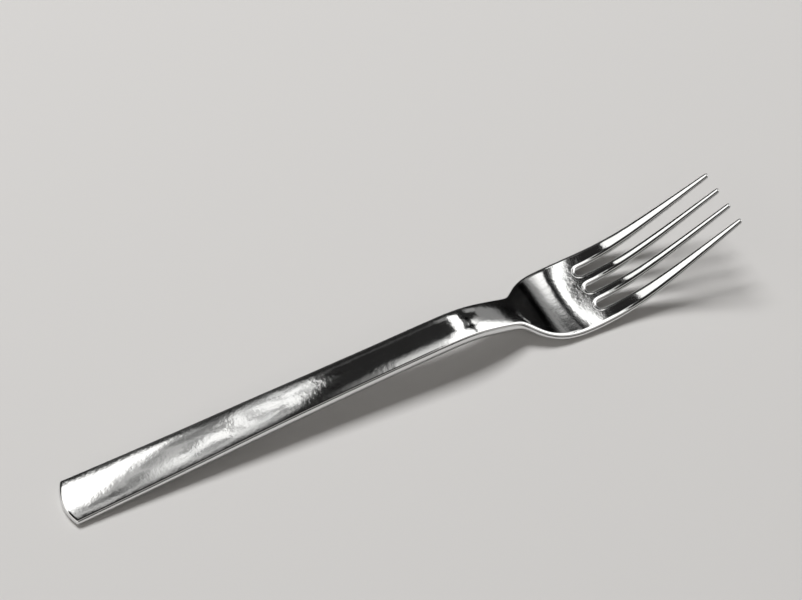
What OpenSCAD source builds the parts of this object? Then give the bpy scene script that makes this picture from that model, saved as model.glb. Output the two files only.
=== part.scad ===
// Four-tined dinner fork, forged in one piece from stainless steel
// It lies as on a table, bowl up: tines towards plus X, table at Z zero
// The origin is on the table, under the middle of the fork's bounding box
// Distances along the fork are counted from the handle's end

/* [Handle] */
// Length of the handle, from its rounded end to the crest where it bends down
handle_length = 122.7; // [105:0.1:140]
// Width of the handle at its end
end_width = 14.4; // [12:0.1:17]
// How far the middle of the end bows out past its two corners
end_bow = 1.6; // [0.5:0.1:3]
// Thickness of the handle's edges at its end
end_thickness = 2.4; // [2:0.1:3]
// Thickness of the handle's edges along its middle and neck
handle_thickness = 3.3; // [2.6:0.1:4.5]
// How much higher the handle's upper face is along its centre than at its edges
handle_crown = 0.45; // [0.1:0.05:0.9]
// Distance over which the handle draws in from its end to the neck width
handle_taper_length = 85.3; // [60:0.1:100]
// Softness of the corner where that taper ends
handle_taper_softness = 9.7; // [5:0.1:12]
// Distance from the end at which the handle has gained half of its thickness
thickening_reach = 46; // [30:1:60]
// Softness of the change from the thin end to the full thickness
thickening_softness = 9; // [5:0.5:12]
// Length of the flat under the end that touches the table
end_pad_length = 5; // [3:0.5:8]
// Angle at which the handle climbs from the table
handle_angle = 4; // [2:0.1:6]

/* [Neck] */
// Width of the neck, which is also the least width of the handle
neck_width = 10.8; // [9:0.1:12]
// Distance from the crest to the heel bend
neck_length = 27.1; // [24:0.1:32]
// Angle of the bend at the crest
crest_bend_angle = 23.1; // [17:0.1:27]
// Softness of the bend at the crest
crest_softness = 3; // [2:0.1:4.5]
// Distance from the crest to where the neck starts to swell into the shoulders
neck_straight = 14.4; // [11:0.1:17]

/* [Head] */
// Width that the shoulders swell to before the sides draw in along the tines
head_width = 26.4; // [24:0.1:29]
// Distance over which most of the shoulders' swelling happens
shoulder_length = 6.3; // [5:0.1:8]
// Softness of the hollow where the neck turns into the shoulders
shoulder_softness = 0.8; // [0.4:0.1:1.4]
// Fullness of the shoulders, where higher values give squarer ones
shoulder_fullness = 1.3; // [1.1:0.05:1.6]
// Distance from the heel bend to the centres of the slots' round roots
bowl_length = 13; // [10:0.1:17]
// Thickness of the head's edges
head_thickness = 2.2; // [1.8:0.1:3]
// Distance from the crest at which the steel has thinned halfway to the head
thinning_reach = 18.3; // [14:0.1:22]
// Softness of that thinning
thinning_softness = 2.2; // [1.5:0.1:3.5]
// Depth of the dish across the middle of the bowl
dish_depth = 0.45; // [0.1:0.05:0.8]
// Distance from the heel bend at which the dish has faded by half
dish_reach = 5.5; // [4:0.1:8]
// Softness of that fading
dish_softness = 2; // [1.4:0.1:3]
// Angle of the bend at the heel
heel_bend_angle = 22.8; // [17:0.1:27]
// Softness of the bend at the heel
heel_softness = 3.6; // [2.5:0.1:5]
// Depth by which the flats under the heel are pressed in where it touches the table
heel_pad_depth = 0.12; // [0.05:0.01:0.25]

/* [Tines] */
// Length from the centres of the slots' round roots to the tips of the tines
tine_length = 42.2; // [36:0.1:48]
// Distance between the centres of the two outer slots at their roots
root_span = 12.8; // [11.6:0.1:14]
// Width of each slot at its root
slot_width = 2.6; // [2:0.05:3]
// Distance between the centres of the two outer tines at their tips
tip_span = 18.4; // [16:0.1:20]
// Width of each tine at its tip
tip_width = 1.7; // [1.3:0.05:2.1]
// Thickness of the tines at their tips
tip_thickness = 1.5; // [1.2:0.1:2]
// Distance from the slot roots to the bend that turns the tines up
tine_bend_reach = 9.9; // [7:0.1:14]
// Angle of that bend
tine_bend_angle = 27.3; // [20:0.1:33]
// Softness of that bend
tine_bend_softness = 5.6; // [4:0.1:7.5]
// Softness of the sides where they start to draw in along the tines
side_softness = 5; // [3:0.1:7]

/* [Edges] */
// Width of the handle's rounded edge, seen from above
edge_radius = 0.9; // [0.6:0.05:1.2]
// Width of the head's rounded edge, seen from above
head_edge_radius = 1.3; // [0.9:0.05:1.4]
// Softness of the change from the handle's edge to the head's
edge_change_softness = 4; // [2.5:0.1:6]
// Squareness of the rounded edge's section, where 2 is an ellipse
edge_squareness = 2.3; // [2:0.1:3.5]
// Rounded edge of a narrow tine, as a share of the tine's width
tine_edge_share = 0.42; // [0.3:0.01:0.46]

/* [Hidden] */
steel_colour = [0.78, 0.79, 0.8];
// Places along the fork
heel_x = handle_length + neck_length;
root_x = heel_x + bowl_length;
fork_length = root_x + tine_length;
shoulder_x = handle_length + neck_straight;
thinning_x = handle_length + thinning_reach;
tine_bend_x = root_x + tine_bend_reach;
// Half widths and pitches across the fork
end_half = end_width / 2;
neck_half = neck_width / 2;
head_half = head_width / 2;
tip_pitch = tip_span / 3;
root_pitch = root_span / 2;
tip_half = (tip_span + tip_width) / 2;
tip_gap = tip_pitch - tip_width;
// Slopes of the straight runs between the bends
handle_slope = tan(handle_angle);
neck_slope = tan(handle_angle - crest_bend_angle);
heel_slope = tan(handle_angle - crest_bend_angle + heel_bend_angle);
tine_slope = tan(handle_angle - crest_bend_angle + heel_bend_angle + tine_bend_angle);
// Small step for measuring slopes
probe = 0.02;
// Beyond this many softnesses a soft corner is straight
soft_limit = 30;
// Distance over which the bow of the end fades out of the rows behind it
bow_fade_length = 10;
// Distance before the slot roots over which the rows curve round them
root_fade_length = 7;
// Rows of points: end, handle, crest, shoulders, bowl, tines
END_ROWS = 8;
HANDLE_ROWS = 24;
CREST_ROWS = 14;
NECK_CELLS = 8;
SHOULDER_ROWS = 15;
BOWL_ROWS = 7;
TINE_ROWS = 14;
// Cells across: handle, each slot of the head, each tine
SLOT_CELLS = 6;
TINE_CELLS = 2;
// Steps round an edge and round a sharp corner of the outline
EDGE_STEPS = 6;
CORNER_STEPS = 4;

// A ramp of slope one that starts at zero with a soft corner
function ramp(x, softness) =
    x > soft_limit * softness ? x : softness * ln(1 + exp(x / softness));
// A step from zero to one with soft shoulders
function step(x, softness) = 1 / (1 + exp(-x / softness));
// A blend from a to b
function mix(a, b, share) = a + (b - a) * share;
// A share kept between zero and one
function clip(share) = min(1, max(0, share));
// How far down the tines a place is, from root to tip
function tine_share(x) = clip((x - root_x) / tine_length);

// Half width of the outline
function handle_half(x) =
    neck_half + (end_half - neck_half)
    * ramp(handle_taper_length - x, handle_taper_softness) / handle_taper_length;
function shoulder_share(x) =
    1 - exp(-pow(ramp(x - shoulder_x, shoulder_softness) / shoulder_length, shoulder_fullness));
function side_half(x) =
    head_half - (head_half - tip_half)
    * ramp(x - root_x, side_softness) / ramp(tine_length, side_softness);
function half_width(x) =
    handle_half(x) + (side_half(x) - neck_half) * shoulder_share(x);
function side_slope(x) = (half_width(x + probe) - half_width(x - probe)) / (2 * probe);

// Slots: pitch, width and the tines that they leave
function slot_pitch(x) = mix(root_pitch, tip_pitch, tine_share(x));
function slot_gap(x) = mix(slot_width, tip_gap, tine_share(x));
function tine_width(x) = slot_pitch(x) - slot_gap(x);
function edge_width(x) =
    mix(edge_radius, head_edge_radius, step(x - handle_length, edge_change_softness));
function rounding(x) =
    x < root_x ? edge_width(x) : min(edge_width(x), tine_edge_share * tine_width(x));

// Side view: the underside before it is laid on the table
function bent_line(x) =
    handle_slope * x
    + (neck_slope - handle_slope) * ramp(x - handle_length, crest_softness)
    + (heel_slope - neck_slope) * ramp(x - heel_x, heel_softness)
    + (tine_slope - heel_slope) * ramp(x - tine_bend_x, tine_bend_softness);
function dish(x) =
    dish_depth * step(x - thinning_x, thinning_softness)
    * (1 - step(x - heel_x - dish_reach, dish_softness));
function thickness(x) =
    end_thickness
    + (handle_thickness - end_thickness) * step(x - thickening_reach, thickening_softness)
    + (head_thickness - handle_thickness) * step(x - thinning_x, thinning_softness)
    + (tip_thickness - head_thickness) * tine_share(x);
function crown(x) = handle_crown * (1 - step(x - thinning_x, thinning_softness));
// The line tilts until it touches the table under the end and under the heel
HEEL_TRIES = 60;
pad_z = bent_line(end_pad_length);
rest_slope = min([
    for (i = [0:HEEL_TRIES])
        let (x = mix(handle_length, root_x + tine_bend_reach, i / HEEL_TRIES))
        (bent_line(x) - dish(x) - pad_z) / (x - end_pad_length)
]);
function rest_line(x) =
    bent_line(x) - pad_z - rest_slope * (x - end_pad_length)
    - heel_pad_depth * clip((x - end_pad_length) / (heel_x - end_pad_length));
// Height of the two faces at a place in plan, before the table presses its flats
function across(x, y) = 1 - pow(y / half_width(x), 2);
function under_z(x, y) = rest_line(x) - dish(x) * across(x, y);
function upper_z(x, y) = under_z(x, y) + thickness(x) + crown(x) * across(x, y);
function low_z(x, y) = max(0, under_z(x, y));
function middle_slope(x) = (rest_line(x + probe) - rest_line(x - probe)) / (2 * probe);

// Edge of the faces, one rounding inside the outline
function face_half(x) =
    half_width(x) - rounding(x) * sqrt(1 + pow(side_slope(x), 2));
function slot_edge(x) = slot_gap(x) / 2 + rounding(x);

// Plain rows of the handle, bowed near its end
function bow_share(x) = clip(1 - (x - edge_radius) / bow_fade_length);
function handle_row(x) = [
    for (j = [0:NECK_CELLS])
        let (share = 2 * j / NECK_CELLS - 1)
        let (bow = end_bow * bow_share(x))
        [x + bow * pow(share, 2), face_half(x + bow) * share]
];

// Head rows have a column for each tine edge and for each point round a slot root
root_edge = slot_edge(root_x);
root_half = face_half(root_x);
function tine_low(k, x) =
    k == 0 ? -face_half(x) : (k - 2) * slot_pitch(x) + slot_edge(x);
function tine_high(k, x) =
    k == 3 ? face_half(x) : (k - 1) * slot_pitch(x) - slot_edge(x);
function tine_columns(k, x) = [
    for (j = [0:TINE_CELLS]) mix(tine_low(k, x), tine_high(k, x), j / TINE_CELLS)
];
function slot_columns(k) = [
    for (j = [1:SLOT_CELLS - 1])
        let (turn = 180 * j / SLOT_CELLS - 90)
        [(k - 1) * root_pitch + root_edge * sin(turn), cos(turn)]
];
// Each column is its place across at the roots and its pull towards the handle
columns = [
    for (k = [0:3]) each concat(
        [for (y = tine_columns(k, root_x)) [y, 0]],
        k < 3 ? slot_columns(k) : []
    )
];
function pull(x) = root_edge * pow(clip(1 - (root_x - x) / root_fade_length), 2);
function head_row(x) = [
    for (c = columns)
        [x - pull(x) * c[1], c[0] * face_half(x) / root_half]
];
function tine_row(x) = [
    for (k = [0:3]) each [for (y = tine_columns(k, x)) [x, y]]
];

// Places of the rows along the fork
bend_start = handle_length - neck_straight;
bend_end = handle_length + neck_straight - edge_radius;
bowl_start = root_x - root_fade_length;
end_stations = [
    for (i = [0:END_ROWS - 1])
        edge_radius + bow_fade_length * pow(i / END_ROWS, 1.5)
];
handle_stations = [
    for (i = [0:HANDLE_ROWS - 1])
        mix(edge_radius + bow_fade_length, bend_start, i / HANDLE_ROWS)
];
crest_stations = [
    for (i = [0:CREST_ROWS]) mix(bend_start, bend_end, i / CREST_ROWS)
];
shoulder_stations = [
    for (i = [0:SHOULDER_ROWS - 1])
        mix(bend_end + edge_radius, bowl_start, i / SHOULDER_ROWS)
];
bowl_stations = [
    for (i = [0:BOWL_ROWS]) mix(bowl_start, root_x, i / BOWL_ROWS)
];
last_x = fork_length - rounding(fork_length - rounding(fork_length));
tine_stations = [
    for (i = [1:TINE_ROWS]) mix(root_x, last_x, i / TINE_ROWS)
];
plain_rows = [
    for (x = concat(end_stations, handle_stations, crest_stations)) handle_row(x)
];
head_rows = [for (x = concat(shoulder_stations, bowl_stations)) head_row(x)];
tine_rows = [for (x = tine_stations) tine_row(x)];

// Index of the first point of each kind of row
PLAIN_COUNT = len(plain_rows);
HEAD_COUNT = len(head_rows);
PLAIN_SIZE = NECK_CELLS + 1;
HEAD_SIZE = len(columns);
TINE_SIZE = 4 * (TINE_CELLS + 1);
SPREAD = TINE_CELLS + SLOT_CELLS;
head_first = PLAIN_COUNT * PLAIN_SIZE;
tine_first = head_first + HEAD_COUNT * HEAD_SIZE;
FACE_SIZE = tine_first + TINE_ROWS * TINE_SIZE;
function plain_at(i, j) = i * PLAIN_SIZE + j;
function head_at(i, j) = head_first + i * HEAD_SIZE + j;
function tine_at(i, k, j) =
    i < 0 ? head_at(HEAD_COUNT - 1, k * SPREAD + j)
    : tine_first + i * TINE_SIZE + k * (TINE_CELLS + 1) + j;

// Triangles of one face, as seen from above
function cell(a, b, c, d) = [[a, b, c], [a, c, d]];
plain_cells = [
    for (i = [0:PLAIN_COUNT - 2]) for (j = [0:NECK_CELLS - 1]) each cell(
        plain_at(i, j), plain_at(i, j + 1), plain_at(i + 1, j + 1), plain_at(i + 1, j))
];
// Between handle and head the few wide cells fan out into many narrow ones
FINE_CELLS = HEAD_SIZE - 1;
function partner(j) = round((j + 0.5) * NECK_CELLS / FINE_CELLS);
fan_cells = concat(
    [for (j = [0:FINE_CELLS - 1])
        [plain_at(PLAIN_COUNT - 1, partner(j)), head_at(0, j + 1), head_at(0, j)]],
    [for (j = [0:FINE_CELLS])
        let (a = j == 0 ? 0 : partner(j - 1))
        let (b = j == FINE_CELLS ? NECK_CELLS : partner(j))
        if (b > a) [plain_at(PLAIN_COUNT - 1, a), plain_at(PLAIN_COUNT - 1, b), head_at(0, j)]]
);
head_cells = [
    for (i = [0:HEAD_COUNT - 2]) for (j = [0:FINE_CELLS - 1]) each cell(
        head_at(i, j), head_at(i, j + 1), head_at(i + 1, j + 1), head_at(i + 1, j))
];
tine_cells = [
    for (i = [-1:TINE_ROWS - 2]) for (k = [0:3]) for (j = [0:TINE_CELLS - 1]) each cell(
        tine_at(i, k, j), tine_at(i, k, j + 1), tine_at(i + 1, k, j + 1), tine_at(i + 1, k, j))
];
face_cells = concat(plain_cells, fan_cells, head_cells, tine_cells);

// The outline is walked once round: each stop is a point and the way out of the steel
function unit(v) = v / norm(v);
function way(angle) = [cos(angle), sin(angle)];
function reversed(list) = [for (i = [len(list) - 1:-1:0]) list[i]];
function slope_of_slot(x) = (slot_edge(x + probe) - slot_edge(x - probe)) / (2 * probe);
face_points = concat(
    [for (row = plain_rows) each row],
    [for (row = head_rows) each row],
    [for (row = tine_rows) each row]
);
function side_stop(id, side) = [id, unit([-side_slope(face_points[id][0]), side])];
function slot_stop(id, side) = [id, unit([slope_of_slot(face_points[id][0]), side])];
// Round the end of the handle
bow_angle = atan(2 * end_bow / end_half);
side_angle = atan(side_slope(edge_radius));
end_stops = [
    for (j = [1:NECK_CELLS - 1]) [plain_at(0, j), way(180 - bow_angle * (2 * j / NECK_CELLS - 1))]
];
function corner_stops(side) = [
    for (i = [0:CORNER_STEPS])
        let (angle = mix(180 - bow_angle, 90 + side_angle, i / CORNER_STEPS))
        [plain_at(0, side > 0 ? NECK_CELLS : 0), [cos(angle), side * sin(angle)]]
];
// Along one side to the last row but one of its outer tine
function side_stops(side) = concat(
    [for (i = [1:PLAIN_COUNT - 1]) side_stop(plain_at(i, side > 0 ? NECK_CELLS : 0), side)],
    [for (i = [0:HEAD_COUNT - 1]) side_stop(head_at(i, side > 0 ? FINE_CELLS : 0), side)],
    [for (i = [0:TINE_ROWS - 2])
        side_stop(side > 0 ? tine_at(i, 3, TINE_CELLS) : tine_at(i, 0, 0), side)]
);
// Round the tip of tine k
function tip_stops(k) = concat(
    [for (i = [0:CORNER_STEPS])
        [tine_at(TINE_ROWS - 1, k, TINE_CELLS), way(90 - 90 * i / CORNER_STEPS)]],
    [for (j = [TINE_CELLS - 1:-1:1]) [tine_at(TINE_ROWS - 1, k, j), way(0)]],
    [for (i = [0:CORNER_STEPS])
        [tine_at(TINE_ROWS - 1, k, 0), way(-90 * i / CORNER_STEPS)]]
);
// Down slot k, round its root and back up
function slot_stops(k) = concat(
    [for (i = [TINE_ROWS - 2:-1:0]) slot_stop(tine_at(i, k + 1, 0), -1)],
    [for (j = [SLOT_CELLS:-1:0])
        [head_at(HEAD_COUNT - 1, k * SPREAD + TINE_CELLS + j), way(90 - 180 * j / SLOT_CELLS)]],
    [for (i = [0:TINE_ROWS - 2]) slot_stop(tine_at(i, k, TINE_CELLS), 1)]
);
stops = concat(
    end_stops,
    corner_stops(1),
    side_stops(1),
    tip_stops(3), slot_stops(2),
    tip_stops(2), slot_stops(1),
    tip_stops(1), slot_stops(0),
    tip_stops(0),
    reversed(side_stops(-1)),
    reversed(corner_stops(-1))
);
STOPS = len(stops);

// Section of the edge, from the upper face at step zero to the lower face at the last step
function edge_angle(i) = 90 - 180 * i / EDGE_STEPS;
function edge_out(i) = pow(cos(edge_angle(i)), 2 / edge_squareness);
function edge_up(i) =
    sign(edge_angle(i)) * pow(abs(sin(edge_angle(i))), 2 / edge_squareness);
function edge_point(i, stop) =
    let (p = face_points[stop[0]])
    let (out = rounding(p[0]) * edge_out(i))
    let (high = upper_z(p[0], p[1]))
    let (low = low_z(p[0], p[1]))
    let (z = mix(low, high, (1 + edge_up(i)) / 2) + middle_slope(p[0]) * stop[1][0] * out)
    [p[0] + stop[1][0] * out, p[1] + stop[1][1] * out, max(0, z)];
edge_points = [for (i = [1:EDGE_STEPS - 1]) for (stop = stops) edge_point(i, stop)];
function edge_at(i, m) =
    i == 0 ? stops[m % STOPS][0]
    : i == EDGE_STEPS ? FACE_SIZE + stops[m % STOPS][0]
    : 2 * FACE_SIZE + (i - 1) * STOPS + m % STOPS;
function strip(a, b, c, d) = concat(a == b ? [] : [[a, b, c]], c == d ? [] : [[a, c, d]]);
edge_cells = [
    for (i = [0:EDGE_STEPS - 1]) for (m = [0:STOPS - 1]) each strip(
        edge_at(i, m + 1), edge_at(i, m), edge_at(i + 1, m), edge_at(i + 1, m + 1))
];

// The whole forging as one closed skin: upper face, lower face and rounded edges
middle = [fork_length / 2, 0, 0];
skin_points = concat(
    [for (p = face_points) [p[0], p[1], upper_z(p[0], p[1])] - middle],
    [for (p = face_points) [p[0], p[1], low_z(p[0], p[1])] - middle],
    [for (p = edge_points) p - middle]
);
skin_faces = concat(
    face_cells,
    [for (c = face_cells) [for (id = reversed(c)) FACE_SIZE + id]],
    edge_cells
);

module fork() {
    color(steel_colour)
        polyhedron(points = skin_points, faces = skin_faces, convexity = 8);
}

fork();
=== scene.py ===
"""Looks of the dinner fork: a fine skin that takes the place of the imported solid, polished steel,
a pale table and soft studio light."""

import math
from typing import NamedTuple

import bpy
import numpy as np
from mathutils import Matrix, Vector


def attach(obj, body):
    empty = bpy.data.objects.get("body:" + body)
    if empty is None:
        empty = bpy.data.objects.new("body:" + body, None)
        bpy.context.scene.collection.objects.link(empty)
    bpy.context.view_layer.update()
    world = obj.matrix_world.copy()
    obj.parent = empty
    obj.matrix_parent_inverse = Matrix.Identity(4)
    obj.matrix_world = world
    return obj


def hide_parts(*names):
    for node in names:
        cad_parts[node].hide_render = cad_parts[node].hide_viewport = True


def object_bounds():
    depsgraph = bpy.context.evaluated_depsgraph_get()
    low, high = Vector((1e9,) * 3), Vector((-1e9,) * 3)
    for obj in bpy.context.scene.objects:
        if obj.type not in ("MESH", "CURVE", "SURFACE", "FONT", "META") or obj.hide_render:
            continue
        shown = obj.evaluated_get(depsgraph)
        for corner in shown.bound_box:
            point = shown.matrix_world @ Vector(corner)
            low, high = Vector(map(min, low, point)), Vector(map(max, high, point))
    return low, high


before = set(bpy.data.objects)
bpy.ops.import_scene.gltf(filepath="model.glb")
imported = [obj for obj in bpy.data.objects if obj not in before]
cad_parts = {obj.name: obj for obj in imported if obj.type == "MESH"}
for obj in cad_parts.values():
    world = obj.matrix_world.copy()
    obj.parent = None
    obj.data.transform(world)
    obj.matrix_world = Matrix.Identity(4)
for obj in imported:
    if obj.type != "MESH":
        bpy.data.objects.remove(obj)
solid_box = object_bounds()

MM = 0.001

# The camera, fitted to the fork's outline in the photograph
LENS_MM = 82.33
SENSOR_MM = 36.0
NEAREST_SEEN = 0.01
CAMERA_AT = (-0.12494, -0.254525, 0.436207)
CAMERA_RIGHT = (0.89917, -0.43759, 0.0)
CAMERA_UP = (0.35774, 0.73509, 0.5759)

# The fork's sizes in millimetres and degrees, the same as in the solid
TINES = 4
SLOTS = TINES - 1
SIZES = dict(
    # handle
    handle_length=122.7,
    end_width=14.4,
    end_bow=1.6,
    end_thickness=2.4,
    handle_thickness=3.3,
    handle_crown=0.45,
    handle_taper_length=85.3,
    handle_taper_softness=9.7,
    thickening_reach=46.0,
    thickening_softness=9.0,
    end_pad_length=5.0,
    handle_angle=4.0,
    # neck
    neck_width=10.8,
    neck_length=27.1,
    crest_bend_angle=23.1,
    crest_softness=3.0,
    neck_straight=14.4,
    # head
    head_width=26.4,
    shoulder_length=6.3,
    shoulder_softness=0.8,
    shoulder_fullness=1.3,
    bowl_length=13.0,
    head_thickness=2.2,
    thinning_reach=18.3,
    thinning_softness=2.2,
    dish_depth=0.45,
    dish_reach=5.5,
    dish_softness=2.0,
    heel_bend_angle=22.8,
    heel_softness=3.6,
    heel_pad_depth=0.12,
    # tines
    tine_length=42.2,
    root_span=12.8,
    slot_width=2.6,
    tip_span=18.4,
    tip_width=1.7,
    tip_thickness=1.5,
    tine_bend_reach=9.9,
    tine_bend_angle=27.3,
    tine_bend_softness=5.6,
    side_softness=5.0,
    # edges
    edge_radius=0.9,
    head_edge_radius=1.3,
    edge_change_softness=4.0,
    edge_squareness=2.3,
    tine_edge_share=0.42,
)

# Slopes are measured over this distance to either side, in millimetres
SLOPE_REACH = 0.02
# Places at which the underside is measured to find the line that it rests on
REST_SAMPLES = 61

# Steps of the skin's net: round a slot's root, across a tine, round the edge and round a corner
SLOT_STEPS = 14
TINE_STEPS = 6
EDGE_STEPS = 14
CORNER_STEPS = 8
# Rows of the net along the end, the handle, the crest, the shoulders, the slots' roots and the tines
END_ROWS = 14
HANDLE_ROWS = 100
CREST_ROWS = 48
SHOULDER_ROWS = 42
ROOT_ROWS = 18
TINE_ROWS = 70
# The end's rows grow wider by this power of their number
END_ROW_POWER = 1.5
# Distances in millimetres over which the end's bow and the roots' rounds fade out of the rows
BOW_FADE = 10.0
ROOT_FADE = 7.0
# Rounds in which the last row's place and the tips' rounding are settled
TIP_ROUNDS = 4


def slope(value, x):
    """How fast a value changes along the fork."""
    return (value(x + SLOPE_REACH) - value(x - SLOPE_REACH)) / (2 * SLOPE_REACH)


class Fork:
    """The form as formulas: outline, side view and section. Millimetres, from the handle's end."""

    def __init__(self):
        vars(self).update(SIZES)
        self.heel_x = self.handle_length + self.neck_length
        self.root_x = self.heel_x + self.bowl_length
        self.length = self.root_x + self.tine_length
        self.shoulder_x = self.handle_length + self.neck_straight
        self.thinning_x = self.handle_length + self.thinning_reach
        self.tine_bend_x = self.root_x + self.tine_bend_reach
        self.end_half = self.end_width / 2
        self.neck_half = self.neck_width / 2
        self.head_half = self.head_width / 2
        self.tip_pitch = self.tip_span / SLOTS
        self.root_pitch = self.root_span / (SLOTS - 1)
        self.tip_half = (self.tip_span + self.tip_width) / 2
        self.tip_gap = self.tip_pitch - self.tip_width
        angles = np.cumsum([self.handle_angle, -self.crest_bend_angle,
                            self.heel_bend_angle, self.tine_bend_angle])
        self.slopes = np.tan(np.radians(angles))
        self.pad_z = self.bent(self.end_pad_length)
        x = np.linspace(self.handle_length, self.tine_bend_x, REST_SAMPLES)
        self.rest_slope = np.min((self.bent(x) - self.dish(x) - self.pad_z) / (x - self.end_pad_length))

    @staticmethod
    def ramp(x, softness):
        """Zero before zero, x after it, with a soft corner."""
        return softness * np.logaddexp(0, np.asarray(x, float) / softness)

    @staticmethod
    def step(x, softness):
        """From zero to one, soft, with its middle at zero."""
        return 1 / (1 + np.exp(-np.asarray(x, float) / softness))

    def tine_share(self, x):
        """Zero up to the slots' roots, one at the tips."""
        return np.clip((x - self.root_x) / self.tine_length, 0, 1)

    def half(self, x):
        """Half of the width."""
        taper = self.ramp(self.handle_taper_length - x, self.handle_taper_softness) / self.handle_taper_length
        handle = self.neck_half + (self.end_half - self.neck_half) * taper
        swell = self.ramp(x - self.shoulder_x, self.shoulder_softness) / self.shoulder_length
        share = 1 - np.exp(-np.power(swell, self.shoulder_fullness))
        draw = (self.ramp(x - self.root_x, self.side_softness)
                / self.ramp(self.tine_length, self.side_softness))
        side = self.head_half - (self.head_half - self.tip_half) * draw
        return handle + (side - self.neck_half) * share

    def pitch(self, x):
        """From one slot's centre line to the next."""
        return self.root_pitch + (self.tip_pitch - self.root_pitch) * self.tine_share(x)

    def gap(self, x):
        """Width of a slot."""
        return self.slot_width + (self.tip_gap - self.slot_width) * self.tine_share(x)

    def rounding(self, x):
        """Width of the rounded edge, seen from above."""
        grown = self.step(x - self.handle_length, self.edge_change_softness)
        edge = self.edge_radius + (self.head_edge_radius - self.edge_radius) * grown
        narrow = np.minimum(edge, self.tine_edge_share * (self.pitch(x) - self.gap(x)))
        return np.where(x < self.root_x, edge, narrow)

    def bent(self, x):
        """The side view's line, with the bends at the crest, the heel and the tines."""
        handle, neck, bowl, tine = self.slopes
        return (handle * x + (neck - handle) * self.ramp(x - self.handle_length, self.crest_softness)
                + (bowl - neck) * self.ramp(x - self.heel_x, self.heel_softness)
                + (tine - bowl) * self.ramp(x - self.tine_bend_x, self.tine_bend_softness))

    def thinned(self, x):
        """Zero on the handle, one on the head."""
        return self.step(x - self.thinning_x, self.thinning_softness)

    def dish(self, x):
        """How deep the bowl is hollowed along its centre."""
        faded = self.step(x - self.heel_x - self.dish_reach, self.dish_softness)
        return self.dish_depth * self.thinned(x) * (1 - faded)

    def thick(self, x):
        gained = self.step(x - self.thickening_reach, self.thickening_softness)
        return (self.end_thickness + (self.handle_thickness - self.end_thickness) * gained
                + (self.head_thickness - self.handle_thickness) * self.thinned(x)
                + (self.tip_thickness - self.head_thickness) * self.tine_share(x))

    def crown(self, x):
        """How far the upper face rises along its centre."""
        return self.handle_crown * (1 - self.thinned(x))

    def rest(self, x):
        """The underside's height at the sides, with the fork lying on its end and its heel."""
        pressed = np.clip((x - self.end_pad_length) / (self.heel_x - self.end_pad_length), 0, 1)
        return (self.bent(x) - self.pad_z - self.rest_slope * (x - self.end_pad_length)
                - self.heel_pad_depth * pressed)

    def across(self, x, y):
        """One along the centre, zero at the sides."""
        return 1 - (y / self.half(x)) ** 2

    def under(self, x, y):
        return self.rest(x) - self.dish(x) * self.across(x, y)

    def upper(self, x, y):
        return self.under(x, y) + self.thick(x) + self.crown(x) * self.across(x, y)

    def face_half(self, x):
        """Half of the width inside the rounded edges."""
        return self.half(x) - self.rounding(x) * np.sqrt(1 + slope(self.half, x) ** 2)

    def slot_centre(self, slot, x):
        """A slot's centre line; the slots count from the right."""
        return (slot - SLOTS // 2) * self.pitch(x)

    def slot_edge(self, x):
        """From a slot's centre line to the face beside it."""
        return self.gap(x) / 2 + self.rounding(x)


def heading(degrees):
    """The direction that is turned from X by an angle."""
    return math.cos(math.radians(degrees)), math.sin(math.radians(degrees))


def unit(x, y):
    """The same direction with a length of one."""
    length = math.hypot(x, y)
    return x / length, y / length


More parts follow.
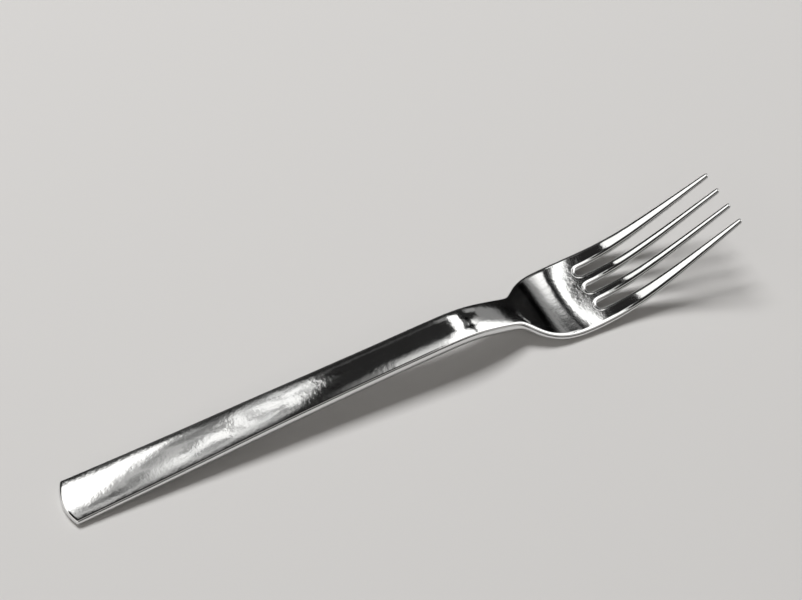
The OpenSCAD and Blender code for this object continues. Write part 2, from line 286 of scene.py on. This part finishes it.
class Skin:
    """The forging as one closed net: upper face, lower face and the edge swept round the outline."""

    def __init__(self, form):
        self.form = form
        self.columns = self.root_columns()
        self.width = len(self.columns)
        self.across = self.columns[:, 0] / float(form.face_half(form.root_x))
        self.head_rows = END_ROWS + HANDLE_ROWS + CREST_ROWS + SHOULDER_ROWS + ROOT_ROWS + 1
        self.plan = np.concatenate(self.head_plan() + self.tine_plan())
        self.face_size = len(self.plan)
        self.stops = self.outline()

    def tine_columns(self, tine, x):
        """Places across one tine, from its right side to its left."""
        form = self.form
        low, high = -form.face_half(x), form.face_half(x)
        if tine > 0:
            low = form.slot_centre(tine - 1, x) + form.slot_edge(x)
        if tine < SLOTS:
            high = form.slot_centre(tine, x) - form.slot_edge(x)
        return [low + (high - low) * step / TINE_STEPS for step in range(TINE_STEPS + 1)]

    def root_columns(self):
        """Places across the head's last row, and how far each draws back round a slot's root."""
        form = self.form
        root_edge = float(form.slot_edge(form.root_x))
        columns = []
        for tine in range(TINES):
            columns += [(float(y), 0.0) for y in self.tine_columns(tine, form.root_x)]
            if tine < SLOTS:
                centre = form.slot_centre(tine, form.root_x)
                for step in range(1, SLOT_STEPS):
                    angle = math.pi * step / SLOT_STEPS - math.pi / 2
                    columns.append((centre + root_edge * math.sin(angle), math.cos(angle)))
        return np.array(columns)

    def head_plan(self):
        """Rows from the handle's end to the slots' roots, as points seen from above."""
        form = self.form
        start = form.edge_radius
        crest_start = form.handle_length - form.neck_straight
        crest_end = form.handle_length + form.neck_straight
        root_start = form.root_x - ROOT_FADE
        stations = np.concatenate([
            start + BOW_FADE * (np.arange(END_ROWS) / END_ROWS) ** END_ROW_POWER,
            np.linspace(start + BOW_FADE, crest_start, HANDLE_ROWS, endpoint=False),
            np.linspace(crest_start, crest_end, CREST_ROWS, endpoint=False),
            np.linspace(crest_end, root_start, SHOULDER_ROWS, endpoint=False),
            np.linspace(root_start, form.root_x, ROOT_ROWS + 1),
        ])
        root_edge = float(form.slot_edge(form.root_x))
        rows = []
        for x in stations:
            bow = form.end_bow * np.clip(1 - (x - start) / BOW_FADE, 0, 1)
            pull = root_edge * np.clip(1 - (form.root_x - x) / ROOT_FADE, 0, 1) ** 2
            along = x + bow * self.across ** 2 - pull * self.columns[:, 1]
            rows.append(np.stack([along, self.across * form.face_half(x + bow)], 1))
        return rows

    def tine_plan(self):
        """Rows along the four tines, as points seen from above."""
        form = self.form
        last = form.length
        for _ in range(TIP_ROUNDS):
            last = form.length - float(form.rounding(last))
        rows = []
        for x in np.linspace(form.root_x, last, TINE_ROWS + 1)[1:]:
            places = np.concatenate([self.tine_columns(tine, x) for tine in range(TINES)])
            rows.append(np.stack([np.full(len(places), x), places], 1))
        return rows

    def head_at(self, row, column):
        """A point's number on the handle or the head."""
        return row * self.width + column

    def tine_at(self, row, tine, column):
        """A point's number on a tine; row -1 is the head's last row."""
        if row < 0:
            return self.head_at(self.head_rows - 1, tine * (TINE_STEPS + SLOT_STEPS) + column)
        return (self.head_rows * self.width + row * TINES * (TINE_STEPS + 1)
                + tine * (TINE_STEPS + 1) + column)

    def bow_angle(self):
        """How far the end's bow has turned at its corners, in degrees."""
        return math.degrees(math.atan(2 * self.form.end_bow / self.form.end_half))

    def end_stops(self):
        """Across the handle's end, from its right corner to its left."""
        bow_angle = self.bow_angle()
        return [(self.head_at(0, column), heading(180 - bow_angle * self.across[column]))
                for column in range(1, self.width - 1)]

    def corner_stops(self, side):
        """Round one of the end's corners; side is 1 on the left and -1 on the right."""
        start = 180 - self.bow_angle()
        stop = 90 + math.degrees(math.atan(slope(self.form.half, self.form.edge_radius)))
        corner = self.head_at(0, self.width - 1 if side > 0 else 0)
        stops = []
        for step in range(CORNER_STEPS + 1):
            x, y = heading(start + (stop - start) * step / CORNER_STEPS)
            stops.append((corner, (x, side * y)))
        return stops

    def side_stops(self, side):
        """Along one side, from the end's corner to the outer tine's tip."""
        column = self.width - 1 if side > 0 else 0
        points = [self.head_at(row, column) for row in range(1, self.head_rows)]
        tine, edge = (TINES - 1, TINE_STEPS) if side > 0 else (0, 0)
        points += [self.tine_at(row, tine, edge) for row in range(TINE_ROWS - 1)]
        return [(point, unit(-slope(self.form.half, self.plan[point, 0]), side)) for point in points]

    def tip_stops(self, tine):
        """Round one tine's tip, from its left side to its right."""
        last = TINE_ROWS - 1
        left, right = self.tine_at(last, tine, TINE_STEPS), self.tine_at(last, tine, 0)
        stops = [(left, heading(90 - 90 * step / CORNER_STEPS)) for step in range(CORNER_STEPS + 1)]
        stops += [(self.tine_at(last, tine, column), heading(0)) for column in range(TINE_STEPS - 1, 0, -1)]
        return stops + [(right, heading(-90 * step / CORNER_STEPS)) for step in range(CORNER_STEPS + 1)]

    def slot_stops(self, slot):
        """Into a slot, round its root and out again."""
        stops = []
        for row in range(TINE_ROWS - 2, -1, -1):
            point = self.tine_at(row, slot + 1, 0)
            stops.append((point, unit(slope(self.form.slot_edge, self.plan[point, 0]), -1)))
        for step in range(SLOT_STEPS, -1, -1):
            column = slot * (TINE_STEPS + SLOT_STEPS) + TINE_STEPS + step
            stops.append((self.head_at(self.head_rows - 1, column), heading(90 - 180 * step / SLOT_STEPS)))
        for row in range(TINE_ROWS - 1):
            point = self.tine_at(row, slot, TINE_STEPS)
            stops.append((point, unit(slope(self.form.slot_edge, self.plan[point, 0]), 1)))
        return stops

    def outline(self):
        """All points of the faces' rim in order, each with the direction in which the edge leaves it."""
        stops = self.end_stops() + self.corner_stops(1) + self.side_stops(1)
        for tine in range(TINES - 1, -1, -1):
            stops += self.tip_stops(tine)
            if tine > 0:
                stops += self.slot_stops(tine - 1)
        return stops + self.side_stops(-1)[::-1] + self.corner_stops(-1)[::-1]

    def points(self):
        """All points in millimetres, with the origin under the middle of the fork."""
        form = self.form
        rim = np.array([point for point, _ in self.stops])
        away = np.array([direction for _, direction in self.stops])
        upper = form.upper(self.plan[:, 0], self.plan[:, 1])
        lower = np.maximum(0, form.under(self.plan[:, 0], self.plan[:, 1]))
        x, y = self.plan[rim, 0], self.plan[rim, 1]
        radius, high, low, lean = form.rounding(x), upper[rim], lower[rim], slope(form.rest, x)
        points = [np.column_stack([self.plan, upper]), np.column_stack([self.plan, lower])]
        power = 2 / form.edge_squareness
        for ring in range(1, EDGE_STEPS):
            angle = math.pi / 2 - math.pi * ring / EDGE_STEPS
            out = radius * math.cos(angle) ** power
            rise = math.copysign(abs(math.sin(angle)) ** power, angle)
            z = low + (high - low) * (1 + rise) / 2 + lean * away[:, 0] * out
            points.append(np.column_stack([x + away[:, 0] * out, y + away[:, 1] * out, np.maximum(0, z)]))
        return np.concatenate(points) - [form.length / 2, 0, 0]

    def edge_at(self, ring, place):
        """A point's number on the edge; the first ring is the upper face's rim, the last the lower's."""
        place = place % len(self.stops)
        if ring == 0:
            return self.stops[place][0]
        if ring == EDGE_STEPS:
            return self.face_size + self.stops[place][0]
        return 2 * self.face_size + (ring - 1) * len(self.stops) + place

    def faces(self):
        """Upper face, lower face and edge; where two stops share a point, the face has three corners."""
        cells = [(self.head_at(row, column), self.head_at(row, column + 1),
                  self.head_at(row + 1, column + 1), self.head_at(row + 1, column))
                 for row in range(self.head_rows - 1) for column in range(self.width - 1)]
        cells += [(self.tine_at(row, tine, column), self.tine_at(row, tine, column + 1),
                   self.tine_at(row + 1, tine, column + 1), self.tine_at(row + 1, tine, column))
                  for row in range(-1, TINE_ROWS - 1)
                  for tine in range(TINES)
                  for column in range(TINE_STEPS)]
        faces = [cell[::-1] for cell in cells]
        faces += [tuple(self.face_size + point for point in cell) for cell in cells]
        for ring in range(EDGE_STEPS):
            for place in range(len(self.stops)):
                corners = (self.edge_at(ring + 1, place + 1), self.edge_at(ring + 1, place),
                           self.edge_at(ring, place), self.edge_at(ring, place + 1))
                face = tuple(dict.fromkeys(corners))
                if len(face) >= 3:
                    faces.append(face)
        return faces


def add_mesh(name, points, faces, smooth=False):
    mesh = bpy.data.meshes.new(name)
    mesh.from_pydata([tuple(point) for point in points], [], faces)
    mesh.validate()
    if smooth:
        mesh.shade_smooth()
    piece = bpy.data.objects.new(name, mesh)
    bpy.context.scene.collection.objects.link(piece)
    return piece


def add_panel(name, span, height, material, faces_down=False):
    """A flat level rectangle; span is its reach along X and along Y."""
    (low_x, high_x), (low_y, high_y) = span
    corners = [(low_x, low_y, height), (high_x, low_y, height),
               (high_x, high_y, height), (low_x, high_y, height)]
    order = (0, 3, 2, 1) if faces_down else (0, 1, 2, 3)
    panel = add_mesh(name, corners, [order])
    panel.data.materials.append(material)
    return panel


def add_camera():
    data = bpy.data.cameras.new("camera")
    data.lens = LENS_MM
    data.sensor_width = SENSOR_MM
    data.clip_start = NEAREST_SEEN
    camera = bpy.data.objects.new("camera", data)
    bpy.context.scene.collection.objects.link(camera)
    right, up = Vector(CAMERA_RIGHT).normalized(), Vector(CAMERA_UP).normalized()
    back = right.cross(up)
    turn = Matrix((right, up, back)).transposed().to_4x4()
    camera.matrix_world = Matrix.Translation(CAMERA_AT) @ turn
    bpy.context.scene.camera = camera


class Nodes:
    """Short ways to build a node tree."""

    def __init__(self, tree):
        self.tree = tree
        tree.nodes.clear()

    def new(self, kind, **values):
        node = self.tree.nodes.new(kind)
        for key, value in values.items():
            setattr(node, key, value)
        return node

    def feed(self, socket, value):
        """Links a socket or sets a value; nothing is done for None."""
        if isinstance(value, bpy.types.NodeSocket):
            self.tree.links.new(value, socket)
        elif value is not None:
            socket.default_value = value

    def finish(self, shader, output_kind):
        self.feed(self.new(output_kind).inputs["Surface"], shader.outputs[0])

    def math(self, operation, first, second, third=None):
        node = self.new("ShaderNodeMath", operation=operation)
        for socket, value in zip(node.inputs, (first, second, third)):
            self.feed(socket, value)
        return node.outputs[0]

    def remap(self, value, from_low, from_high, to_low=0.0, to_high=1.0):
        node = self.new("ShaderNodeMapRange", interpolation_type="SMOOTHSTEP")
        for socket, part in zip(node.inputs, (value, from_low, from_high, to_low, to_high)):
            self.feed(socket, part)
        return node.outputs[0]

    def noise(self, place, scale, detail, roughness=0.5):
        node = self.new("ShaderNodeTexNoise")
        self.feed(node.inputs["Vector"], place)
        self.feed(node.inputs["Scale"], scale)
        self.feed(node.inputs["Detail"], detail)
        self.feed(node.inputs["Roughness"], roughness)
        return node.outputs["Fac"]

    def stretch(self, place, factors):
        node = self.new("ShaderNodeVectorMath", operation="MULTIPLY")
        self.feed(node.inputs[0], place)
        node.inputs[1].default_value = factors
        return node.outputs[0]

    def bump(self, height, distance, strength, normal=None):
        node = self.new("ShaderNodeBump")
        self.feed(node.inputs["Height"], height)
        self.feed(node.inputs["Distance"], distance)
        self.feed(node.inputs["Strength"], strength)
        self.feed(node.inputs["Normal"], normal)
        return node.outputs["Normal"]

    def object_place(self):
        return self.new("ShaderNodeTexCoord").outputs["Object"]

    def split(self, vector):
        node = self.new("ShaderNodeSeparateXYZ")
        self.feed(node.inputs[0], vector)
        return node.outputs

    def soft_area(self, x, y, patch):
        """One inside the patch and zero outside, with soft sides."""
        corners = patch.corners
        softs = patch.soft if isinstance(patch.soft, tuple) else (patch.soft,) * len(corners)
        value = None
        for (from_x, from_y), (to_x, to_y), soft in zip(corners, corners[1:] + corners[:1], softs):
            length = math.hypot(to_x - from_x, to_y - from_y)
            inward_x, inward_y = (from_y - to_y) / length, (to_x - from_x) / length
            offset = -(from_x * inward_x + from_y * inward_y)
            inside = self.math("MULTIPLY_ADD", x, inward_x, self.math("MULTIPLY_ADD", y, inward_y, offset))
            side = self.remap(inside, -soft, soft)
            value = side if value is None else self.math("MULTIPLY", value, side)
        return value

    def dim(self, light, covered, leaves):
        """The light, cut down to the share called leaves where it is wholly covered."""
        return self.math("MULTIPLY", light, self.math("MULTIPLY_ADD", covered, leaves - 1.0, 1.0))


def new_material(name):
    material = bpy.data.materials.new(name)
    material.use_nodes = True
    return material, Nodes(material.node_tree)


# Polished steel, with noise scales per metre and bump heights in metres
WAVE_SCALE = 150.0
WAVE_STRETCH = (1.0, 1.4, 1.0)
WAVE_HEIGHT = 0.00008
WAVE_STRENGTH = 0.4
RIPPLE_SCALE = 900.0
RIPPLE_HEIGHT = 0.00002
RIPPLE_STRENGTH = 0.6
SCRATCH_SCALE = 160.0
SCRATCH_STRETCH = (1.0, 60.0, 60.0)
SCRATCH_HEIGHT = 0.000002
SCRATCH_STRENGTH = 0.25
SCRATCH_RANGE = (0.55, 0.8)
SCRATCH_ROUGHNESS = (0.0, 0.06)
WEAR_SCALE = 60.0
WEAR_RANGE = (0.3, 0.75)
WEAR_ROUGHNESS = (0.05, 0.10)
STEEL_WARM = (0.76, 0.76, 0.75, 1)
STEEL_COOL = (0.80, 0.81, 0.82, 1)


def steel_material():
    """Mirror-like steel with the polishing wheel's waves, fine scratches along the fork and faint wear."""
    material, nodes = new_material("polished_steel")
    place = nodes.object_place()
    waves = nodes.noise(nodes.stretch(place, WAVE_STRETCH), WAVE_SCALE, detail=1.0)
    ripple = nodes.noise(place, RIPPLE_SCALE, detail=2.0)
    scratches = nodes.noise(nodes.stretch(place, SCRATCH_STRETCH), SCRATCH_SCALE, detail=3.0, roughness=0.7)
    wear = nodes.noise(place, WEAR_SCALE, detail=3.0)
    normal = nodes.bump(waves, WAVE_HEIGHT, WAVE_STRENGTH)
    normal = nodes.bump(ripple, RIPPLE_HEIGHT, RIPPLE_STRENGTH, normal)
    normal = nodes.bump(scratches, SCRATCH_HEIGHT, SCRATCH_STRENGTH, normal)
    worn = nodes.remap(wear, *WEAR_RANGE, *WEAR_ROUGHNESS)
    scratched = nodes.remap(scratches, *SCRATCH_RANGE, *SCRATCH_ROUGHNESS)
    tone = nodes.new("ShaderNodeMixRGB")
    nodes.feed(tone.inputs["Fac"], wear)
    tone.inputs["Color1"].default_value = STEEL_WARM
    tone.inputs["Color2"].default_value = STEEL_COOL
    shader = nodes.new("ShaderNodeBsdfPrincipled")
    shader.inputs["Metallic"].default_value = 1.0
    nodes.feed(shader.inputs["Normal"], normal)
    nodes.feed(shader.inputs["Roughness"], nodes.math("ADD", worn, scratched))
    nodes.feed(shader.inputs["Base Color"], tone.outputs[0])
    nodes.finish(shader, "ShaderNodeOutputMaterial")
    return material


def add_fork():
    """The fork's skin, kept inside the solid's box, in place of the solid's plain look."""
    skin = Skin(Fork())
    low_corner, high_corner = solid_box
    points = np.clip(skin.points() * MM, np.array(low_corner), np.array(high_corner))
    fork = add_mesh("dinner_fork", points, skin.faces(), smooth=True)
    fork.data.materials.append(steel_material())
    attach(fork, "root")
    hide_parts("fork")


# The pale table, in metres
TABLE_SPAN = (-3.0, 3.0), (-3.0, 3.0)
TABLE_Z = 0.0
TABLE_COLOUR = (0.62, 0.61, 0.60, 1)
TABLE_ROUGHNESS = 0.75
TABLE_SPECULAR = 0.2


def table_material():
    material, nodes = new_material("pale_table")
    shader = nodes.new("ShaderNodeBsdfPrincipled")
    shader.inputs["Base Color"].default_value = TABLE_COLOUR
    shader.inputs["Roughness"].default_value = TABLE_ROUGHNESS
    shader.inputs["Specular IOR Level"].default_value = TABLE_SPECULAR
    nodes.finish(shader, "ShaderNodeOutputMaterial")
    return material


def add_table():
    table = add_panel("table", TABLE_SPAN, TABLE_Z, table_material())


class Patch(NamedTuple):
    """A patch of light or dark overhead, with corners that run anticlockwise. Soft is half of the
    width of its soft sides, one value for all or one for each. Level is the strength of its light or,
    for a dark patch, the share of the light that it leaves."""
    corners: tuple
    soft: object
    level: float


# The canopy over the table, which only the steel sees, in metres
CANOPY_Z = 0.4
CANOPY_SPAN = (-0.95, 1.5), (-0.2, 0.8)
CANOPY_BASE = 0.02
CANOPY_COLOUR = (1.0, 0.99, 0.97, 1)
# Soft boxes in the canopy, in canopy heights; a comment says where the fork mirrors them
BOXES = (
    # white over the handle's end, then its middle; the tines mirror both too
    Patch(((-2.4, 0.40), (-0.19, 0.40), (-0.19, 0.89), (-2.4, 0.89)), (0.04, 0.03, 0.04, 0.05), 1.5),
    Patch(((-0.28, 0.335), (-0.045, 0.335), (0.013, 0.62), (0.018, 0.85), (-0.28, 0.85)),
          (0.10, 0.015, 0.012, 0.10, 0.03), 1.3),
    # grey on the near side of the handle's end
    Patch(((-0.42, 0.30), (-0.20, 0.30), (-0.20, 0.44), (-0.42, 0.44)), (0.03, 0.02, 0.04, 0.05), 0.62),
    # the near side of the handle before the crest, brighter towards it
    Patch(((0.02, 0.18), (0.10, 0.18), (0.10, 0.32), (0.02, 0.32)), 0.05, 0.22),
    Patch(((0.085, 0.16), (0.42, 0.16), (0.42, 0.335), (0.085, 0.335)), (0.05, 0.05, 0.09, 0.02), 0.80),
    Patch(((0.175, -0.45), (0.42, -0.45), (0.42, 0.325), (0.175, 0.325)), 0.035, 1.3),
    # faint light along the handle's far side
    Patch(((0.02, 0.82), (0.30, 0.84), (0.30, 0.91), (0.02, 0.90)), 0.04, 0.07),
    Patch(((-0.30, 0.96), (1.00, 1.20), (1.00, 2.00), (-0.30, 2.00)), 0.04, 0.08),
    # the ring at the crest: near side, middle and far branch; the bowl's white band mirrors the middle
    Patch(((0.21, -0.45), (0.64, -0.45), (0.64, 0.37), (0.33, 0.43), (0.255, 0.36)), 0.03, 1.6),
    Patch(((0.325, 0.38), (0.455, 0.38), (0.565, 0.92), (0.385, 0.95), (0.335, 0.59)),
          (0.03, 0.018, 0.03, 0.03, 0.02), 1.6),
    Patch(((0.255, 0.84), (0.36, 0.80), (0.40, 0.95), (0.27, 0.95)), 0.03, 0.24),
    # the bright strip along the neck's near side
    Patch(((0.60, -0.45), (1.90, -0.45), (1.62, 0.62), (0.95, 0.62), (0.70, 0.42)),
          (0.04, 0.06, 0.10, 0.04, 0.04), 1.6),
    # grey on the neck: its far side, then its middle and the shoulders
    Patch(((0.80, 0.98), (1.12, 1.04), (1.30, 1.20), (1.28, 1.32), (1.10, 1.26), (0.80, 1.10)), 0.06, 0.34),
    Patch(((1.02, 0.66), (1.52, 0.66), (1.68, 1.30), (1.50, 1.42), (1.14, 1.14)),
          (0.06, 0.08, 0.10, 0.06, 0.05), 0.27),
    # where the bowl begins: grey light, the white stripe, and dark grey between the stripe and the band
    Patch(((0.93, 0.50), (1.25, 0.50), (1.25, 0.84), (0.93, 0.80)), (0.05, 0.35, 0.12, 0.04), 0.42),
    Patch(((0.585, 0.50), (0.93, 0.50), (0.93, 0.71), (0.61, 0.59)), (0.02, 0.28, 0.09, 0.02), 1.5),
    Patch(((0.48, 0.48), (0.66, 0.48), (0.66, 0.72), (0.48, 0.72)), 0.03, 0.14),
    # the bright strip on the near shoulder
    Patch(((1.60, -0.45), (2.80, -0.45), (2.80, 1.45), (1.60, 0.58)), 0.04, 1.6),
)
# Dark cards in the canopy, also in canopy heights
CARDS = (
    # a faint one by the white stripe: its outline bends inwards, so it takes a tenth of the light at most
    Patch(((0.56, 0.53), (0.62, 0.585), (0.98, 0.80), (0.86, 0.785)), 0.015, 0.30),
    # the black between the neck and the bowl
    Patch(((1.66, 0.67), (3.90, 2.15), (3.90, 2.30), (1.90, 2.30)), 0.03, 0.35),
)

# Clear screens close over the fork, which only the steel sees, in metres
SCREEN_Z = 0.15
SCREEN_SPAN = (-0.125, 0.135), (0.005, 0.150)
SCREEN_PATCHES = (
    # a grey band over the handle's end
    Patch(((-0.1120, 0.050), (-0.088, 0.046), (-0.044, 0.134), (-0.070, 0.138)),
          (0.004, 0.010, 0.004, 0.003), 0.36),
    # the dark wedge beside the crest
    Patch(((0.0985, 0.060), (0.112, 0.060), (0.117, 0.078), (0.118, 0.112), (0.0985, 0.112)), 0.002, 0.08),
)
LOW_SCREEN_Z = 0.06
LOW_SCREEN_SPAN = (0.100, 0.185), (0.030, 0.090)
LOW_SCREEN_PATCHES = (
    # the soft dark beside the bowl's light
    Patch(((0.116, 0.038), (0.170, 0.038), (0.170, 0.080), (0.116, 0.080)),
          (0.003, 0.004, 0.004, 0.010), 0.10),
)
# Dark blots on the upper screen, over the handle's middle
BLOTTED = Patch(((-0.104, 0.048), (-0.010, 0.048), (-0.002, 0.128), (-0.072, 0.128)),
                (0.004, 0.004, 0.012, 0.010), 0.34)
BLOT_LENGTH = 0.0062
BLOT_WIDTH = 0.021
BLOT_RANGE = (0.42, 0.52)


def canopy_material():
    """The strongest of the soft boxes at each place, dimmed by the dark cards."""
    material, nodes = new_material("canopy_light")
    place_x, place_y, _ = nodes.split(nodes.object_place())
    x = nodes.math("DIVIDE", place_x, CANOPY_Z)
    y = nodes.math("DIVIDE", place_y, CANOPY_Z)
    light = CANOPY_BASE
    for box in BOXES:
        lit = nodes.math("MULTIPLY", nodes.soft_area(x, y, box), box.level)
        light = nodes.math("MAXIMUM", lit, light)
    for card in CARDS:
        light = nodes.dim(light, nodes.soft_area(x, y, card), card.level)
    emission = nodes.new("ShaderNodeEmission")
    nodes.feed(emission.inputs["Strength"], light)
    emission.inputs["Color"].default_value = CANOPY_COLOUR
    nodes.finish(emission, "ShaderNodeOutputMaterial")
    return material


def screen_material(name, patches, blotted):
    """Lets the light through, but for a share of it in each dark patch and, if blotted, in the blots."""
    material, nodes = new_material(name)
    place = nodes.object_place()
    x, y, _ = nodes.split(place)
    light = 1.0
    for patch in patches:
        light = nodes.dim(light, nodes.soft_area(x, y, patch), patch.level)
    if blotted:
        cells = nodes.stretch(place, (1 / BLOT_LENGTH, 1 / BLOT_WIDTH, 1.0))
        dark = nodes.remap(nodes.noise(cells, scale=1.0, detail=2.0), *BLOT_RANGE, 1.0, 0.0)
        blots = nodes.math("MULTIPLY", dark, nodes.soft_area(x, y, BLOTTED))
        light = nodes.dim(light, blots, BLOTTED.level)
    colour = nodes.new("ShaderNodeCombineColor")
    for socket in colour.inputs:
        nodes.feed(socket, light)
    clear = nodes.new("ShaderNodeBsdfTransparent")
    nodes.feed(clear.inputs["Color"], colour.outputs[0])
    nodes.finish(clear, "ShaderNodeOutputMaterial")
    return material


def show_to_steel_only(panel):
    """Hides a panel from the camera and from the table, and takes away its shadow."""
    panel.visible_camera = False
    panel.visible_diffuse = False
    panel.visible_shadow = False


def add_canopy():
    canopy = add_panel("canopy", CANOPY_SPAN, CANOPY_Z, canopy_material(), faces_down=True)
    show_to_steel_only(canopy)


def add_screen(name, span, height, patches, blotted):
    screen = add_panel(name, span, height, screen_material("clear_" + name, patches, blotted))
    show_to_steel_only(screen)


# The dim room: a paler wall in front between two ranges of the direction's Y, and a bright one at the left
FRONT_TOP = (-0.50, -0.42)
FRONT_FOOT = (-0.92, -0.80)
FRONT_LEVEL = 0.40
LEFT_RANGE = (-0.75, -0.45)
LEFT_LEVEL = 0.9
ROOM_BASE = 0.012
ROOM_COLOUR = (1.0, 0.97, 0.93, 1)


def set_room():
    world = bpy.data.worlds.new("world")
    world.use_nodes = True
    bpy.context.scene.world = world
    nodes = Nodes(world.node_tree)
    direction_x, direction_y, _ = nodes.split(nodes.new("ShaderNodeTexCoord").outputs["Generated"])
    below_top = nodes.remap(direction_y, *FRONT_TOP, 1.0, 0.0)
    above_foot = nodes.remap(direction_y, *FRONT_FOOT, 0.0, 1.0)
    front = nodes.math("MULTIPLY", nodes.math("MULTIPLY", below_top, above_foot), FRONT_LEVEL)
    left = nodes.remap(direction_x, *LEFT_RANGE, LEFT_LEVEL, 0.0)
    light = nodes.math("ADD", nodes.math("MAXIMUM", front, left), ROOM_BASE)
    background = nodes.new("ShaderNodeBackground")
    nodes.feed(background.inputs["Strength"], light)
    background.inputs["Color"].default_value = ROOM_COLOUR
    nodes.finish(background, "ShaderNodeOutputWorld")


# One broad lamp behind the fork lights the table and throws the soft shadow, and no steel mirrors it
KEY_AT = (-0.12, 1.32, 2.16)
KEY_AIM = (0.0, 0.0, 0.0)
KEY_SIZE = 0.9
KEY_WATTS = 62.0


def add_key_lamp():
    data = bpy.data.lights.new("key", "AREA")
    data.shape = "SQUARE"
    data.size = KEY_SIZE
    data.energy = KEY_WATTS
    key = bpy.data.objects.new("key", data)
    bpy.context.scene.collection.objects.link(key)
    back = (Vector(KEY_AT) - Vector(KEY_AIM)).normalized()
    key.matrix_world = Matrix.Translation(KEY_AT) @ back.to_track_quat("Z", "Y").to_matrix().to_4x4()
    key.visible_glossy = False


add_camera()
add_fork()
add_table()
add_canopy()
add_screen("screen", SCREEN_SPAN, SCREEN_Z, SCREEN_PATCHES, blotted=True)
add_screen("low_screen", LOW_SCREEN_SPAN, LOW_SCREEN_Z, LOW_SCREEN_PATCHES, blotted=False)
set_room()
add_key_lamp()
bpy.context.scene.view_settings.view_transform = "Standard"
